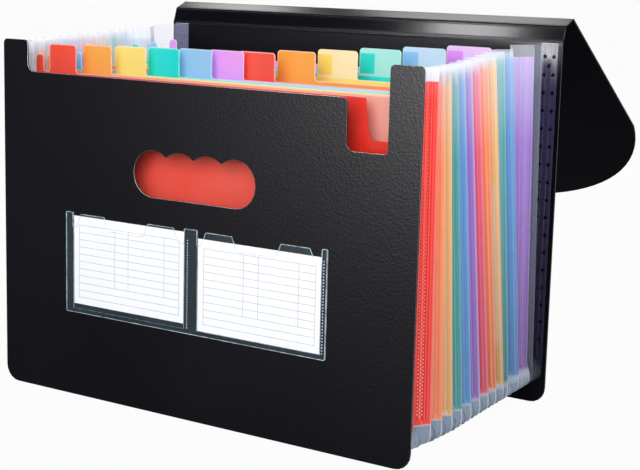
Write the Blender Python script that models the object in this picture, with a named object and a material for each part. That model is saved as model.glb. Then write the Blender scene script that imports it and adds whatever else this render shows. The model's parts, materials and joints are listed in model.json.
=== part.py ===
"""Expanding file drawn open, lid folded back: covers, spine bands, flap, dividers, pleated film, label pocket.

Metres, +Z up, +X to the right, -Y to the front. The origin is on the table, under the middle of the rear cover.
"""
import math

import bmesh
import bpy
from mathutils import Matrix, Vector

MM = 0.001

# Covers
COVER_WIDTH = 330 * MM
COVER_THICK = 1.0 * MM
FRONT_HEIGHT = 239 * MM
REAR_HEIGHT = 247 * MM
COVER_CORNER = 11 * MM
EAR_WIDTH = 22.5 * MM
EAR_HEIGHT = 21 * MM
EAR_CORNER = 3 * MM
EAR_FILLET = 5.5 * MM
NOTCH_WIDTH = 28.5 * MM
NOTCH_DEPTH = 31.2 * MM
NOTCH_FILLET = 5 * MM
NOTCH_FILLET_RIGHT = 2.5 * MM

# Finger-grip hole
GRIP_BASE = 143.3 * MM
GRIP_HEIGHT = 30.5 * MM
SCALLOP_COUNT = 4
SCALLOP_PITCH = 22.3 * MM
SCALLOP_RISE = 3.8 * MM

# Spine bands and flap; each lean is counted back from upright in the rest pose
BAND_LOWER = 11 * MM
BAND_UPPER = 12 * MM
LEAN_LOWER = math.radians(18)
LEAN_UPPER = math.radians(66)
LEAN_FLAP = math.radians(124.4)
FLAP_LENGTH = 280 * MM
FLAP_SIDE = 142 * MM
CREASE_GAP = 0.48 * MM

# Bays from the front cover to the rear cover; the near ones narrow and the far ones widen towards the rear
BAY_FIRST = 14 * MM
BAY_NEAR = 11 * MM
BAY_NEAR_SHRINK = 1.2 * MM
BAY_FAR = 15 * MM
BAY_FAR_GROWTH = 2 * MM
NEAR_COUNT = 6
FAR_COUNT = 6
RISE_FAR = 1.2 * MM

# Pleated film
FILM_THICK = 0.4 * MM
FILM_MARGIN = 3 * MM
FILM_BASE = 9.4 * MM
FILM_TOP = 237 * MM
FILM_CORNER = 16 * MM
PLEAT_DEPTH = 12.5 * MM

# Dividers
SHEET_THICK = 0.5 * MM
SHEET_EAR_WIDTH = 7 * MM
SHEET_EAR_RISE = 11 * MM
TAB_RISE = 18.5 * MM
TAB_CORNER = 2.5 * MM
TAB_FILLET = 1.5 * MM
TAB_START_GAP = 4.1 * MM
TAB_END_GAP = 15 * MM
TAB_WIDTH_FIRST = 24.5 * MM
TAB_WIDTH_GROWTH = 0.85 * MM
SHEET_NOTCH_INSET = 3.5 * MM
SHEET_NOTCH_RAISE = 5.5 * MM
SHEET_NOTCH_SLANT = 3.5 * MM

# Label pocket and its cards
POCKET_LEFT = -107 * MM
POCKET_BASE = 58 * MM
POCKET_TOP = 126.5 * MM
POCKET_RAIL = 6.2 * MM
POCKET_SEAM = 10.5 * MM
POCKET_END = 4 * MM
POCKET_VALLEY = 9.5 * MM
POCKET_FILM = 0.4 * MM
TONGUE_DROP = 0.6 * MM
TONGUE_SLANT = 4 * MM
TONGUE_SPANS = ((2.5 * MM, 31 * MM), (60.5 * MM, 90 * MM))
CARD_WIDTH = 94 * MM
CARD_HEIGHT = 60 * MM
CARD_THICK = 0.3 * MM
CARD_BASE = 3.2 * MM
CARD_LIFT_LEFT = 3 * MM

# Clearances
CLEAR = 0.3 * MM
CARD_SIDE_CLEAR = 0.5 * MM

ARC_STEPS = 5
END_STEPS = 10
FLAP_STEPS = 40
FILM_ARC_STEPS = 8

SHEET_COLOURS = {
    "red": (0.85, 0.10, 0.07),
    "orange": (0.95, 0.35, 0.05),
    "yellow": (0.95, 0.70, 0.15),
    "teal": (0.05, 0.65, 0.55),
    "blue": (0.15, 0.45, 0.85),
    "purple": (0.55, 0.35, 0.80),
}

HALF_WIDTH = COVER_WIDTH / 2
DIVIDER_COUNT = NEAR_COUNT + FAR_COUNT
RECESS_TOP = FRONT_HEIGHT - EAR_HEIGHT
FILM_HALF = HALF_WIDTH - FILM_MARGIN
NOTCH_RIGHT = HALF_WIDTH - EAR_WIDTH
NOTCH_LEFT = NOTCH_RIGHT - NOTCH_WIDTH
NOTCH_BASE = RECESS_TOP - NOTCH_DEPTH


def divider_offset(index):
    """Distance of a divider behind the front cover; 0 is that cover, one past the last is the rear cover."""
    if index == 0:
        return 0.0
    near = min(index - 1, NEAR_COUNT)
    far = max(index - 1 - NEAR_COUNT, 0)
    narrowing = BAY_NEAR_SHRINK * near * (near - 1) / 2
    widening = BAY_FAR_GROWTH * far * (far - 1) / 2
    return BAY_FIRST + near * BAY_NEAR - narrowing + far * BAY_FAR + widening


def divider_rise(index):
    """How much higher a divider of the wide rear bays hangs."""
    return max(index - 1 - NEAR_COUNT, 0) * RISE_FAR


DEPTH = divider_offset(DIVIDER_COUNT + 1)
FRONT_Y = -DEPTH


def clear_scene():
    for item in list(bpy.data.objects):
        bpy.data.objects.remove(item, do_unlink=True)


def material(name, colour, roughness=0.45, alpha=1.0):
    made = bpy.data.materials.new(name)
    made.use_nodes = True
    shader = made.node_tree.nodes["Principled BSDF"]
    shader.inputs["Base Color"].default_value = (*colour, 1.0)
    shader.inputs["Roughness"].default_value = roughness
    shader.inputs["Alpha"].default_value = alpha
    made.diffuse_color = (*colour, alpha)
    return made


def add_object(name, bm, look, origin=(0.0, 0.0, 0.0)):
    """Finish a mesh whose points are in world places, with its object origin at the point given."""
    bmesh.ops.recalc_face_normals(bm, faces=bm.faces)
    bmesh.ops.translate(bm, verts=bm.verts, vec=-Vector(origin))
    mesh = bpy.data.meshes.new(name)
    bm.to_mesh(mesh)
    bm.free()
    made = bpy.data.objects.new(name, mesh)
    made.location = origin
    made.data.materials.append(look)
    bpy.context.scene.collection.objects.link(made)
    return made


def arc(centre, radius, start, end, steps):
    """Points along a circle from one angle to another, both ends included."""
    turn = (end - start) / steps
    angles = [start + turn * i for i in range(steps + 1)]
    return [(centre[0] + radius * math.cos(a), centre[1] + radius * math.sin(a)) for a in angles]


def rounded(corners, steps=ARC_STEPS):
    """Outline through corners given as (across, up, radius), each corner turned into an arc."""
    outline = []
    count = len(corners)
    for i, (across, up, radius) in enumerate(corners):
        here = Vector((across, up))
        if radius == 0:
            outline.append((across, up))
            continue
        before = (Vector(corners[i - 1][:2]) - here).normalized()
        after = (Vector(corners[(i + 1) % count][:2]) - here).normalized()
        half = before.angle(after) / 2
        reach = radius / math.tan(half)
        centre = here + (before + after).normalized() * (radius / math.sin(half))
        first = here + before * reach - centre
        sweep = first.angle_signed(here + after * reach - centre)
        begin = math.atan2(first.y, first.x)
        outline.extend(arc(centre, radius, begin, begin - sweep, steps))
    return outline


def plate(loops, thick):
    """Flat plate in the XZ plane, middle of its thickness at Y = 0; the first loop is the rim, others are holes."""
    bm = bmesh.new()
    rims = []
    for loop in loops:
        front = [bm.verts.new((across, -thick / 2, up)) for across, up in loop]
        back = [bm.verts.new((across, thick / 2, up)) for across, up in loop]
        rims.append((front, back))
    for side in (0, 1):
        edges = []
        for rim in rims:
            ring = rim[side]
            edges.extend(bm.edges.new((ring[i - 1], ring[i])) for i in range(len(ring)))
        bmesh.ops.triangle_fill(bm, use_beauty=True, use_dissolve=False, edges=edges)
    for front, back in rims:
        for i in range(len(front)):
            bm.faces.new((front[i - 1], front[i], back[i], back[i - 1]))
    return bm


def grip_outline():
    """Finger-grip hole: round ends, flat bottom, and scallops along the top."""
    radius = GRIP_HEIGHT / 2
    reach = SCALLOP_PITCH * (SCALLOP_COUNT - 1) / 2
    middle = GRIP_BASE + radius
    quarter = math.pi / 2
    outline = arc((reach, middle), radius, -quarter, quarter, END_STEPS)
    chord = SCALLOP_PITCH / 2
    bow = (chord ** 2 + SCALLOP_RISE ** 2) / (2 * SCALLOP_RISE)
    spread = math.asin(chord / bow)
    top = GRIP_BASE + GRIP_HEIGHT
    for i in range(SCALLOP_COUNT):
        across = reach - i * SCALLOP_PITCH
        start = quarter if i == 0 else quarter - spread
        end = quarter if i == SCALLOP_COUNT - 1 else quarter + spread
        points = arc((across, top - bow), bow, start, end, ARC_STEPS)
        outline.extend(points[1:])
    outline.extend(arc((-reach, middle), radius, quarter, 3 * quarter, END_STEPS)[1:])
    return outline


def front_cover(look):
    corners = [
        (-HALF_WIDTH, 0, COVER_CORNER),
        (HALF_WIDTH, 0, COVER_CORNER),
        (HALF_WIDTH, FRONT_HEIGHT, EAR_CORNER),
        (NOTCH_RIGHT, FRONT_HEIGHT, EAR_CORNER),
        (NOTCH_RIGHT, NOTCH_BASE, NOTCH_FILLET_RIGHT),
        (NOTCH_LEFT, NOTCH_BASE, NOTCH_FILLET),
        (NOTCH_LEFT, RECESS_TOP, EAR_CORNER),
        (-NOTCH_RIGHT, RECESS_TOP, EAR_FILLET),
        (-NOTCH_RIGHT, FRONT_HEIGHT, EAR_CORNER),
        (-HALF_WIDTH, FRONT_HEIGHT, EAR_CORNER),
    ]
    bm = plate([rounded(corners), grip_outline()], COVER_THICK)
    bmesh.ops.translate(bm, verts=bm.verts, vec=(0, FRONT_Y, 0))
    return add_object("front_cover", bm, look, (0, FRONT_Y, 0))


def rear_cover(look):
    top = REAR_HEIGHT - CREASE_GAP
    corners = [
        (-HALF_WIDTH, 0, COVER_CORNER),
        (HALF_WIDTH, 0, COVER_CORNER),
        (HALF_WIDTH, top, 0),
        (-HALF_WIDTH, top, 0),
    ]
    return add_object("rear_cover", plate([rounded(corners)], COVER_THICK), look)


def flap_outline():
    """Flap from its crease: straight sides, then one large arc centred on the middle line."""
    centre = FLAP_LENGTH ** 2 - HALF_WIDTH ** 2 - FLAP_SIDE ** 2
    centre = centre / (2 * (FLAP_LENGTH - FLAP_SIDE))
    start = math.atan2(FLAP_SIDE - centre, HALF_WIDTH)
    rim = arc((0, centre), FLAP_LENGTH - centre, start, math.pi - start, FLAP_STEPS)
    return [(-HALF_WIDTH, CREASE_GAP), (HALF_WIDTH, CREASE_GAP)] + rim


def band_outline(length):
    near = CREASE_GAP
    far = length - CREASE_GAP
    return [(-HALF_WIDTH, near), (HALF_WIDTH, near), (HALF_WIDTH, far), (-HALF_WIDTH, far)]


def lid(look):
    """Spine bands and flap, each turned back about its own crease, chained from the rear cover's top."""
    crease = Vector((0, 0, REAR_HEIGHT))
    panels = [
        ("spine_band_lower", band_outline(BAND_LOWER), BAND_LOWER, LEAN_LOWER),
        ("spine_band_upper", band_outline(BAND_UPPER), BAND_UPPER, LEAN_UPPER),
        ("flap", flap_outline(), FLAP_LENGTH, LEAN_FLAP),
    ]
    for name, outline, length, lean in panels:
        bm = plate([outline], COVER_THICK)
        turn = Matrix.Rotation(-lean, 4, "X")
        bmesh.ops.transform(bm, matrix=Matrix.Translation(crease) @ turn, verts=bm.verts)
        add_object(name, bm, look, crease)
        crease = crease + Vector((0, math.sin(lean), math.cos(lean))) * length


def film_profile():
    """Stations of the film's outer face from front to rear: (inset, distance from front cover, rise)."""
    weld = COVER_THICK / 2 + CLEAR + FILM_THICK
    stations = [(0, weld, 0), (PLEAT_DEPTH, weld, 0)]
    for index in range(1, DIVIDER_COUNT + 2):
        last = index == DIVIDER_COUNT + 1
        before = divider_offset(index - 1)
        here = divider_offset(index)
        rise = divider_rise(index)
        ridge_rise = (divider_rise(index - 1) + rise) / 2
        stations.append((0, (before + here) / 2, ridge_rise))
        stations.append((PLEAT_DEPTH, DEPTH - weld if last else here, rise))
    stations.append((0, DEPTH - weld, divider_rise(DIVIDER_COUNT + 1)))
    return stations


def inner_face(stations):
    """Stations of the film's inner face: every panel moved in by the film's thickness, folds mitred."""
    normals = []
    for (inset, away, _), (next_inset, next_away, _) in zip(stations, stations[1:]):
        normals.append(Vector((next_away - away, inset - next_inset)).normalized())
    moved = []
    for i, (inset, away, rise) in enumerate(stations):
        first = normals[max(i - 1, 0)]
        second = normals[min(i, len(normals) - 1)]
        mitre = (first + second).normalized()
        step = mitre * (FILM_THICK / mitre.dot(first))
        moved.append((inset + step.x, away + step.y, rise))
    return moved


def film_path(inset, away, rise):
    """One line of the film: down the right side, around under the sheets, up the left side."""
    half = FILM_HALF - inset
    radius = FILM_CORNER - inset
    base = FILM_BASE + inset
    quarter = math.pi / 2
    flat = [(half, FILM_TOP)]
    flat += arc((half - radius, base + radius), radius, 0, -quarter, FILM_ARC_STEPS)
    flat += arc((radius - half, base + radius), radius, -quarter, -2 * quarter, FILM_ARC_STEPS)
    flat += [(-half, FILM_TOP)]
    return [(across, FRONT_Y + away, up + rise) for across, up in flat]


def gusset_film(look):
    bm = bmesh.new()
    outer = film_profile()
    ring = outer + inner_face(outer)[::-1]
    lines = [[bm.verts.new(point) for point in film_path(*station)] for station in ring]
    count = len(lines[0])
    for i in range(len(lines)):
        for j in range(count - 1):
            bm.faces.new((lines[i - 1][j], lines[i][j], lines[i][j + 1], lines[i - 1][j + 1]))
    pairs = len(outer)
    for j in (0, count - 1):
        for i in range(pairs - 1):
            k = len(lines) - 1 - i
            bm.faces.new((lines[i][j], lines[i + 1][j], lines[k - 1][j], lines[k][j]))
    return add_object("gusset_film", bm, look)


def divider_inset(index):
    """Distance of a divider's edge inside the film's outer folds: it stops just short of its own inner fold."""
    here = divider_offset(index)
    bays = (here - divider_offset(index - 1), divider_offset(index + 1) - here)
    slope = sum(math.atan2(bay / 2, PLEAT_DEPTH) for bay in bays) / 2
    return PLEAT_DEPTH + FILM_THICK / math.sin(slope) + CLEAR


def divider_outline(index):
    """Coloured sheet: round lower corners, an ear at each end of the top edge, one tab, and the first a notch."""
    inset = divider_inset(index)
    half = FILM_HALF - inset
    base = FILM_BASE + inset
    corner = FILM_CORNER - inset
    ear_top = RECESS_TOP + SHEET_EAR_RISE
    ear_inner = half - SHEET_EAR_WIDTH
    tab_top = RECESS_TOP + TAB_RISE
    deepest = max(divider_inset(i) for i in range(1, DIVIDER_COUNT + 1))
    tab_room = FILM_HALF - deepest - SHEET_EAR_WIDTH
    first_right = TAB_START_GAP + TAB_WIDTH_FIRST - tab_room
    pitch = (tab_room - TAB_END_GAP - first_right) / (DIVIDER_COUNT - 1)
    tab_right = first_right + (index - 1) * pitch
    tab_left = tab_right - TAB_WIDTH_FIRST - (index - 1) * TAB_WIDTH_GROWTH
    small = TAB_CORNER
    corners = [
        (-half, base, corner),
        (half, base, corner),
        (half, ear_top, small),
        (ear_inner, ear_top, small),
    ]
    if index == 1:
        notch_base = NOTCH_BASE + SHEET_NOTCH_RAISE
        notch_left = NOTCH_LEFT + SHEET_NOTCH_INSET
        corners += [
            (ear_inner, notch_base, NOTCH_FILLET),
            (notch_left + SHEET_NOTCH_SLANT, notch_base, NOTCH_FILLET),
            (notch_left, RECESS_TOP, TAB_FILLET),
        ]
    else:
        corners.append((ear_inner, RECESS_TOP, TAB_FILLET))
    corners += [
        (tab_right, RECESS_TOP, TAB_FILLET),
        (tab_right, tab_top, small),
        (tab_left, tab_top, small),
        (tab_left, RECESS_TOP, TAB_FILLET),
        (-ear_inner, RECESS_TOP, TAB_FILLET),
        (-ear_inner, ear_top, small),
        (-half, ear_top, small),
    ]
    return rounded(corners)


def dividers():
    looks = [material("sheet_" + name, colour, 0.4, 0.85) for name, colour in SHEET_COLOURS.items()]
    for index in range(1, DIVIDER_COUNT + 1):
        bm = plate([divider_outline(index)], SHEET_THICK)
        place = (0, FRONT_Y + divider_offset(index), divider_rise(index))
        bmesh.ops.translate(bm, verts=bm.verts, vec=place)
        add_object(f"divider_{index:02d}", bm, looks[(index - 1) % len(looks)], place)


def card_left_edge(slot):
    """Left edge of a card, by pocket number from the left."""
    return POCKET_LEFT + POCKET_RAIL + CARD_SIDE_CLEAR + slot * (CARD_WIDTH + 2 * CARD_SIDE_CLEAR + POCKET_SEAM)


def pocket_outline():
    """Clear pocket sheet, seen from the front: rails and seam stand up, two tongues over each card."""
    right = card_left_edge(1) + CARD_WIDTH + CARD_SIDE_CLEAR + POCKET_END
    valley = POCKET_TOP - POCKET_VALLEY
    tongue_top = POCKET_TOP - TONGUE_DROP
    small = 1.0 * MM
    corners = [(POCKET_LEFT, POCKET_BASE, small), (right, POCKET_BASE, small), (right, POCKET_TOP, small)]
    for slot in (1, 0):
        left = card_left_edge(slot)
        wall = left + CARD_WIDTH + CARD_SIDE_CLEAR
        corners += [(wall, POCKET_TOP, small), (wall, valley, small)]
        for begin, end in reversed(TONGUE_SPANS):
            corners += [
                (left + end, valley, small),
                (left + end - TONGUE_SLANT, tongue_top, small),
                (left + begin + TONGUE_SLANT, tongue_top, small),
                (left + begin, valley, small),
            ]
        wall = left - CARD_SIDE_CLEAR
        corners += [(wall, valley, 0.2 * MM), (wall, POCKET_TOP, small)]
    corners.append((POCKET_LEFT, POCKET_TOP, small))
    return rounded(corners, 3)


def box_object(name, low, high):
    bm = bmesh.new()
    bmesh.ops.create_cube(bm, size=1.0)
    size = Vector(high) - Vector(low)
    bmesh.ops.scale(bm, vec=size, verts=bm.verts)
    bmesh.ops.translate(bm, vec=(Vector(high) + Vector(low)) / 2, verts=bm.verts)
    mesh = bpy.data.meshes.new(name)
    bm.to_mesh(mesh)
    bm.free()
    made = bpy.data.objects.new(name, mesh)
    bpy.context.scene.collection.objects.link(made)
    made.hide_render = True
    made.display_type = "WIRE"
    return made


def cut_away(target, cutter):
    """Cut one object out of another and drop the cutter."""
    step = target.modifiers.new("cut", "BOOLEAN")
    step.operation = "DIFFERENCE"
    step.solver = "EXACT"
    step.object = cutter
    bpy.context.view_layer.update()
    graph = bpy.context.evaluated_depsgraph_get()
    mesh = bpy.data.meshes.new_from_object(target.evaluated_get(graph))
    target.modifiers.remove(step)
    old = target.data
    target.data = mesh
    bpy.data.meshes.remove(old)
    bpy.data.objects.remove(cutter, do_unlink=True)


def label_pocket(film_look, card_look):
    """Clear double pocket on the front cover, hollowed for its two cards, and the cards."""
    back = FRONT_Y - COVER_THICK / 2 - CLEAR
    hollow = CARD_THICK + CLEAR
    thick = hollow + POCKET_FILM
    bm = plate([pocket_outline()], thick)
    bmesh.ops.translate(bm, verts=bm.verts, vec=(0, back - thick / 2, 0))
    pocket = add_object("label_pocket", bm, film_look)
    reach = 5 * MM
    for slot, name in enumerate(("label_card_left", "label_card_right")):
        left = card_left_edge(slot)
        base = POCKET_BASE + CARD_BASE
        low = (left - CARD_SIDE_CLEAR, back - hollow, base - CLEAR)
        high = (left + CARD_WIDTH + CARD_SIDE_CLEAR, back + reach, POCKET_TOP + reach)
        cut_away(pocket, box_object("cutter", low, high))
        base += CARD_LIFT_LEFT if slot == 0 else 0
        top = base + CARD_HEIGHT
        outline = [(left, base), (left + CARD_WIDTH, base), (left + CARD_WIDTH, top), (left, top)]
        bm = plate([outline], CARD_THICK)
        place = (0, back - CARD_THICK / 2, 0)
        bmesh.ops.translate(bm, verts=bm.verts, vec=place)
        add_object(name, bm, card_look, place)


def main():
    clear_scene()
    black = material("cover_black", (0.02, 0.02, 0.025), 0.5)
    clear = material("film_clear", (0.85, 0.88, 0.92), 0.35, 0.4)
    card = material("card_white", (0.9, 0.9, 0.9), 0.8)
    rear_cover(black)
    lid(black)
    front_cover(black)
    dividers()
    gusset_film(clear)
    label_pocket(clear, card)


main()
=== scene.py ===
"""Looks of an expanding file that stands open: covers, folded lid, dividers, pleats and card pocket."""
import json
import math

import bmesh
import bpy
from bpy.props import FloatProperty, FloatVectorProperty, IntProperty, PointerProperty
from mathutils import Matrix, Vector


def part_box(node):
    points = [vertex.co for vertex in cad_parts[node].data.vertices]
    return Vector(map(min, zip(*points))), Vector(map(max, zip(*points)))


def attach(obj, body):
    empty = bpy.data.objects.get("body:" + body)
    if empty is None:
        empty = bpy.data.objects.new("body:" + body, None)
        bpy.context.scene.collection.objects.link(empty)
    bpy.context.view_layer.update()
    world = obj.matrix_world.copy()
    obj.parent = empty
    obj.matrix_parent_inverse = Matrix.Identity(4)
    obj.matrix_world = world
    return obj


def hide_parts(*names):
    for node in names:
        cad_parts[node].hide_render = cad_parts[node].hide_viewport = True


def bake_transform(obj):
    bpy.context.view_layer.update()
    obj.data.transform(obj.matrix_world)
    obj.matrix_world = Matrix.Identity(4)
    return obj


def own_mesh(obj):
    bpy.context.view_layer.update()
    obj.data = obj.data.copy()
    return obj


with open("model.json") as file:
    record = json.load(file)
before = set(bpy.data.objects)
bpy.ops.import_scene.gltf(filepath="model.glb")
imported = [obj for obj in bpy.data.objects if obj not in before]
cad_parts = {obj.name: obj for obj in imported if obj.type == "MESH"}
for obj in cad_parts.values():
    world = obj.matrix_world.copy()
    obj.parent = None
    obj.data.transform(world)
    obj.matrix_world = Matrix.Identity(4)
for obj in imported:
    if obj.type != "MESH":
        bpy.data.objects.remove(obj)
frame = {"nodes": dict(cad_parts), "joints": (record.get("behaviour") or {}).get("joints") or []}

bl_info = {
    "name": "Expanding File",
    "version": (1, 0, 0),
    "blender": (4, 5, 0),
    "location": "View3D > Sidebar > Expanding File",
    "description": "Dresses the fixed frame of an expanding file with its sheets, pleats and label cards",
    "category": "Object",
}

MM = 0.001
UP = Vector((0, 0, 1))
FRONT = Vector((0, -1, 0))
WHITE = (1.0, 1.0, 1.0)
QUARTER = math.pi / 2
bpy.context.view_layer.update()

MERGE = 0.000002  # distance within which points count as one
FLAT_ANGLE = math.radians(0.5)
SHARP_ANGLE = math.radians(40)
SAME_HEIGHT = 0.1 * MM
RIM_LOOK, SHADE_LOOK, PATCH_LOOK = 1, 2, 3  # places in a sheet's list of looks, after its face
FACING = 0.9  # share of a normal along Y from which a face looks to the front or rear

# Black sheets: specular level, roughness and strength of the grain
BLACK_FINISHES = {
    "grain": (0.015, 0.32, 0.45),
    "gloss": (0.015, 0.2, 0.12),
    "shine": (0.015, 0.11, 0.05),
    "dull": (0.006, 0.6, 0.3),
}
TIP_DEPTH = 0.7 * MM  # part of the flap's length that counts as its tip
WEB_SEGMENTS = 8

# Dividers
DIVIDER_COUNT = 12
TINT_NAMES = ("red", "orange", "yellow", "teal", "blue", "purple")
TAB_RISE = 18.5 * MM
TAB_STRAIGHT = 4 * MM  # part of a tab's height where its ends are read
SHEET_OPACITY = 0.93
# Share of white in the painted highlight along a divider's rim.
RIM_HIGHLIGHT_WHITE = 0.45
# Painted light in the thumb notch: right of a place across, the first sheet takes a more saturated red, and
# the second a salmon for the light through the red sheet.
NOTCH_PAINTED_LIGHT = {1: ("vermilion", 100 * MM), 2: ("salmon", 100 * MM)}  # shade right of a place across

# Two-tone tabs of the rear dividers: the patch in shares of the tab
PALE_AFTER = 8
PATCH_WIDTH = 0.37
PATCH_TOP = 0.82
PATCH_BASE = 0.1
PATCH_POWER = 1.15
TAB_WHITE = 0.4

# Pleated film
CLIMB = (0.15, 0.8)  # shares of the way to the rear between which its top climbs at the right
SIDE_STEPS = 8
CORNER_STEPS = 10
CORNER_POWER = 6  # how square the lower corners are
LOW_FLARE = 3.0  # how soon the pleats flatten in the corners
LOW_SHIFTS = {10: -4 * MM, 11: 3 * MM}  # lower folds that lie off their even steps
# Painted highlight on the outer folds: how much stronger it is in the painted shade under the dividers.
LOW_FOLD_HIGHLIGHT = 5.0  # how much brighter the folds glow under the dividers
INWARD = 0.3  # how far a normal on the inner side points inwards
TINTED = 0.5  # opacity from which a panel is milky inside

# Margins of the dividers, seen through the film
FINISH_MARKS = ("veil", "begin", "full", "base", "rich")
PINK_MARGIN = 6
MARGIN_EDGE = 0.4 * MM
MARGIN_OPACITY = 0.97
FADE_START = 0.15
LOW_FADE = 8 * MM  # extra fade of the lower ends at the rear
FIRST_RICH = 0.8  # richness of the first margin at its top
# Painted light and shade on the film's tints: lighter at the top, darker towards the foot, and darker still
# at the rear.
TOP_PAINTED_LIGHT = 1.2  # lightness of a tint at the film's top, and what it loses at the foot and at the rear
FOOT_PAINTED_SHADE = 0.35
REAR_PAINTED_SHADE = 0.5
BACK_TINT = 0.15  # hint of the tint on the rear-facing panels
BACK_OPACITY = 0.8

# Welds of the film. Columns of dots: share across the panel, shift in rows, share of the height they reach
WELD_COLUMNS = ((0.5, 0.0, 1.0), (0.68, 0.0, 1.0), (0.59, 0.5, 0.55))
WELD_START = 3 * MM
WELD_RAISE = 0.2  # share of a dot's radius by which its middle stands out
SPOT_START = 9 * MM
SPOT_INSETS = (2.7 * MM, 3.3 * MM)  # from the film's edge and from the pleat's end
SPOT_DEPTH = 0.3 * MM
FILM_WALL = 0.45 * MM  # film between the round welds and the rear cover

# Card pocket
POCKET_RIM = 0.4 * MM
SEAM_SHARE = 0.3  # place of the middle seam between the cards
SEAM_END = 4 * MM
SEAM_DOT_DEPTH = 0.12 * MM
SEAM_DOT_OUT = 0.02 * MM

# Ruled table on a card, in shares of the card
TABLE_ACROSS = (0.05, 0.96)
TABLE_UP = (0.08, 0.9)
TABLE_COLUMNS = (0.365, 0.5, 0.855)
TABLE_LAST_ROWS = 2
PRINT_THICK = 0.02 * MM
CARD_EDGE = 0.05 * MM

# Stage: metres, and the sensor in millimetres
FLOOR_REACH = 30.0
FLOOR_GLOW = 0.96  # how much of the floor's shade is plain white
SENSOR_WIDTH = 36.0
CLIP = (0.01, 100.0)

# Lamps: name, place, point they face, width, height, power in watts. The sheens only show as reflections,
# and the softboxes beside and behind the file never do.
LAMPS = (
    ("fill_softbox", (0.55, -1.75, 0.95), (0.0, -0.15, 0.15), 1.6, 1.2, 24.5),
    ("right_softbox", (2.0, -0.6, 0.7), (0.1, -0.1, 0.12), 1.0, 1.0, 21.0),
    ("left_softbox", (-1.9, 0.4, 0.8), (-0.1, -0.08, 0.12), 1.0, 1.0, 24.0),
    ("rear_softbox", (0.5, 2.0, 0.9), (0.0, 0.05, 0.15), 1.4, 1.0, 24.0),
    ("cover_sheen", (-0.3, -1.36, 0.27), (0.1, -0.18, 0.17), 0.35, 0.35, 150.0),
    ("band_sheen", (-0.516, -0.956, 0.884), (0.05, 0.0, 0.25), 0.12, 0.12, 18.0),
    ("crease_sheen", (-0.532, -1.104, 0.544), (0.05, 0.0, 0.25), 0.15, 0.1, 18.0),
    ("top_sheen", (-0.88, 0.68, 1.06), (-0.05, 0.0, 0.26), 0.15, 0.15, 2.0),
    ("upper_sheen", (-0.515, 0.746, 1.141), (0.05, 0.0, 0.26), 0.3, 0.2, 4.5),
)
UNMIRRORED = ("right_softbox", "left_softbox", "rear_softbox")

# Places read from the frame
SHEET_BOXES = [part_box(f"divider_{index:02d}") for index in range(1, DIVIDER_COUNT + 1)]
SHEET_PLACES = [(low.y + high.y) / 2 for low, high in SHEET_BOXES]
SHEET_TOPS = [high.z for low, high in SHEET_BOXES]
FILM_LOW, FILM_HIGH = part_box("gusset_film")


def linear(red, green, blue):
    """Scene-linear colour from the 0 to 255 values seen on a screen."""
    shares = [channel / 255 for channel in (red, green, blue)]
    return tuple(s / 12.92 if s <= 0.04045 else ((s + 0.055) / 1.055) ** 2.4 for s in shares)


def length(label, about, millimetres):
    return FloatProperty(
        name=label, description=about, default=millimetres * MM, min=0.0, unit="LENGTH", subtype="DISTANCE")


def share(label, about, value):
    return FloatProperty(name=label, description=about, default=value, min=0.0, max=1.0, subtype="FACTOR")


def angle(label, about, degrees):
    return FloatProperty(
        name=label, description=about, default=math.radians(degrees), unit="ROTATION", subtype="ANGLE")


def colour(label, about, red, green, blue):
    return FloatVectorProperty(
        name=label, description=about, default=linear(red, green, blue), min=0.0, max=1.0, size=3,
        subtype="COLOR")


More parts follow.
